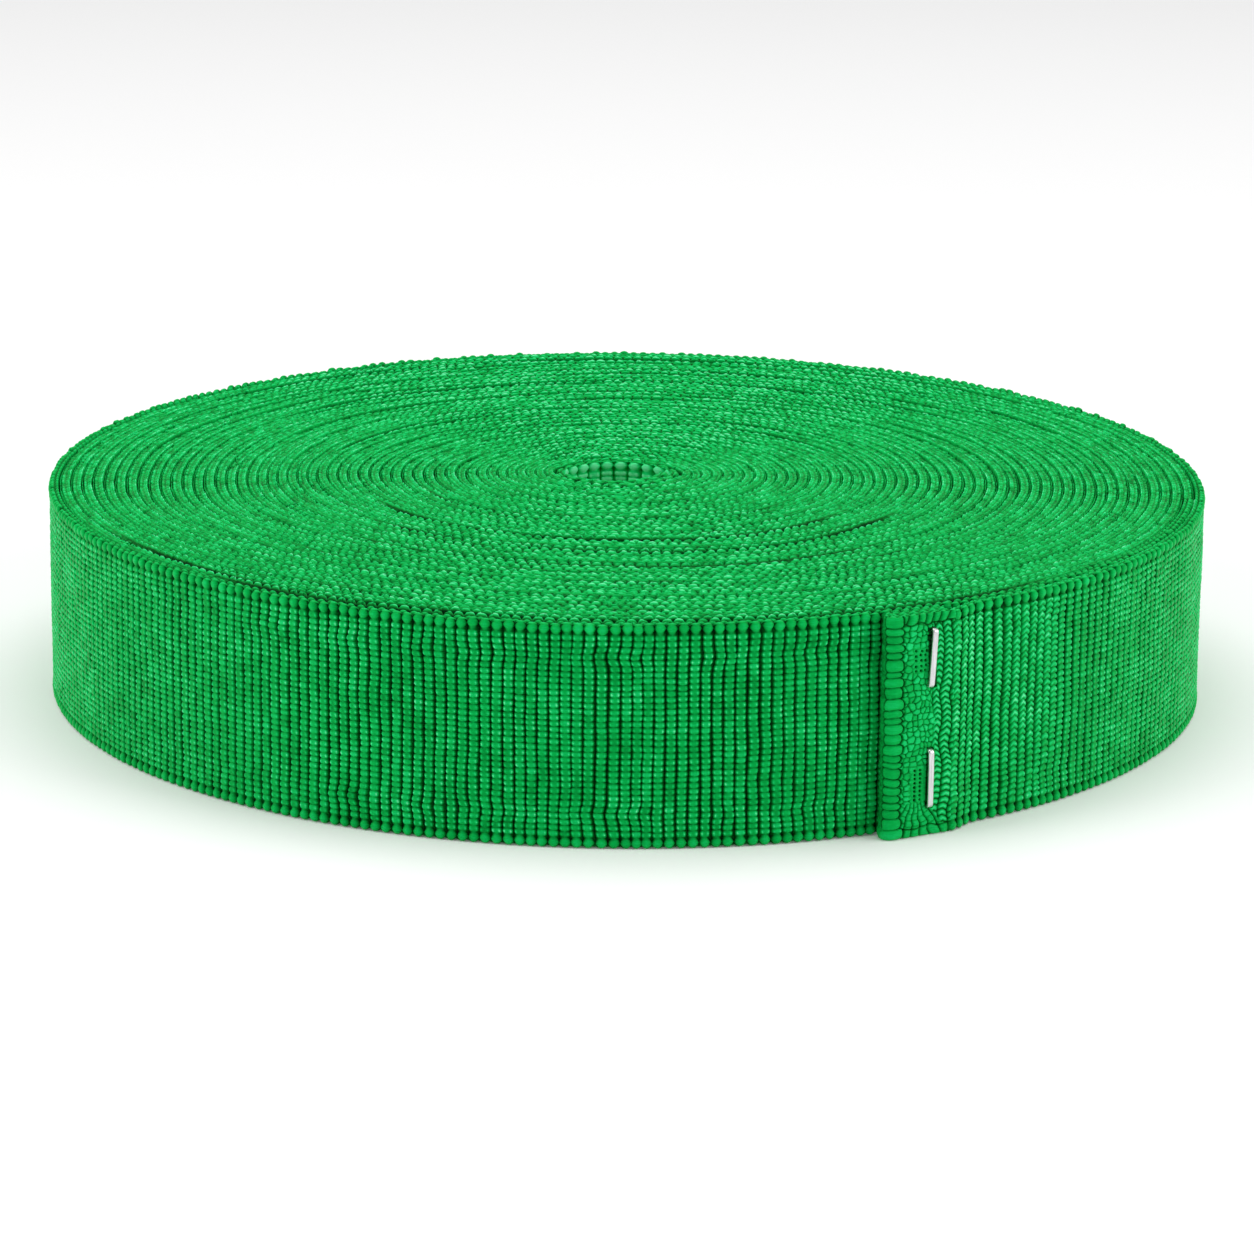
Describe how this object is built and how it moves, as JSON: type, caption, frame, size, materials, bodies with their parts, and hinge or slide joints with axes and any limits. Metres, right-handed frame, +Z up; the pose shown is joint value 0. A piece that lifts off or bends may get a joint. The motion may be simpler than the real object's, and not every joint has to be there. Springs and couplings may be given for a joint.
{
  "type": "resistance band",
  "caption": "Roll of ribbed woven elastic resistance band lying flat, its folded free end tacked to the roll with flat-wire staples.",
  "frame": {"origin": "centre of the roll's bounding box, on the surface it lies on", "axes": "+Z up along the roll's winding axis, -Y the front, and the free end is on the front towards +X"},
  "size_m": [0.2178, 0.2168, 0.04],
  "materials": {
    "elastic_webbing": "ribbed weave with a soft sheen",
    "staple_wire": "bright drawn wire"
  },
  "bodies": {
    "wound_band": {"band_outer_turns": "elastic_webbing", "band_middle_turns": "elastic_webbing", "band_inner_turns": "elastic_webbing", "band_core_turns": "elastic_webbing"},
    "tail_1": {"tail_stretch_1": "elastic_webbing"},
    "tail_2": {"tail_stretch_2": "elastic_webbing"},
    "tail_3": {"tail_stretch_3": "elastic_webbing"},
    "tail_4": {"tail_stretch_4": "elastic_webbing"},
    "tail_5": {"tail_stretch_5": "elastic_webbing"},
    "tail_6": {"tail_stretch_6": "elastic_webbing"},
    "folded_end": {"folded_end": "elastic_webbing"},
    "staple_upper": {"staple_upper": "staple_wire"},
    "staple_lower": {"staple_lower": "staple_wire"}
  },
  "joints": [
    {"name": "peel_1", "type": "hinge", "parent": "wound_band", "child": "tail_1", "pos_m": [0.10804, -0.0148, 0], "axis": [0, 0, 1], "range_deg": [0, 12]},
    {"name": "peel_2", "type": "hinge", "parent": "tail_1", "child": "tail_2", "pos_m": [0.10471, -0.03094, 0], "axis": [0, 0, 1], "range_deg": [0, 12]},
    {"name": "peel_3", "type": "hinge", "parent": "tail_2", "child": "tail_3", "pos_m": [0.09899, -0.0464, 0], "axis": [0, 0, 1], "range_deg": [0, 12]},
    {"name": "peel_4", "type": "hinge", "parent": "tail_3", "child": "tail_4", "pos_m": [0.09102, -0.06083, 0], "axis": [0, 0, 1], "range_deg": [0, 12]},
    {"name": "peel_5", "type": "hinge", "parent": "tail_4", "child": "tail_5", "pos_m": [0.08096, -0.07391, 0], "axis": [0, 0, 1], "range_deg": [0, 12]},
    {"name": "peel_6", "type": "hinge", "parent": "tail_5", "child": "tail_6", "pos_m": [0.06906, -0.08534, 0], "axis": [0, 0, 1], "range_deg": [0, 12]},
    {"name": "peel_7", "type": "hinge", "parent": "tail_6", "child": "folded_end", "pos_m": [0.05662, -0.09662, 0], "axis": [0, 0, 1], "range_deg": [0, 12]},
    {"name": "staple_upper_pull", "type": "slide", "parent": "folded_end", "child": "staple_upper", "axis": [0.4754, -0.8798, 0], "range_m": [0, 0.012]},
    {"name": "staple_lower_pull", "type": "slide", "parent": "folded_end", "child": "staple_lower", "axis": [0.4754, -0.8798, 0], "range_m": [0, 0.012]}
  ],
  "couplings": [
    {"joint": "peel_2", "follows": "peel_1", "ratio": 1},
    {"joint": "peel_3", "follows": "peel_1", "ratio": 1},
    {"joint": "peel_4", "follows": "peel_1", "ratio": 1},
    {"joint": "peel_5", "follows": "peel_1", "ratio": 1},
    {"joint": "peel_6", "follows": "peel_1", "ratio": 1},
    {"joint": "peel_7", "follows": "peel_1", "ratio": 1}
  ]
}
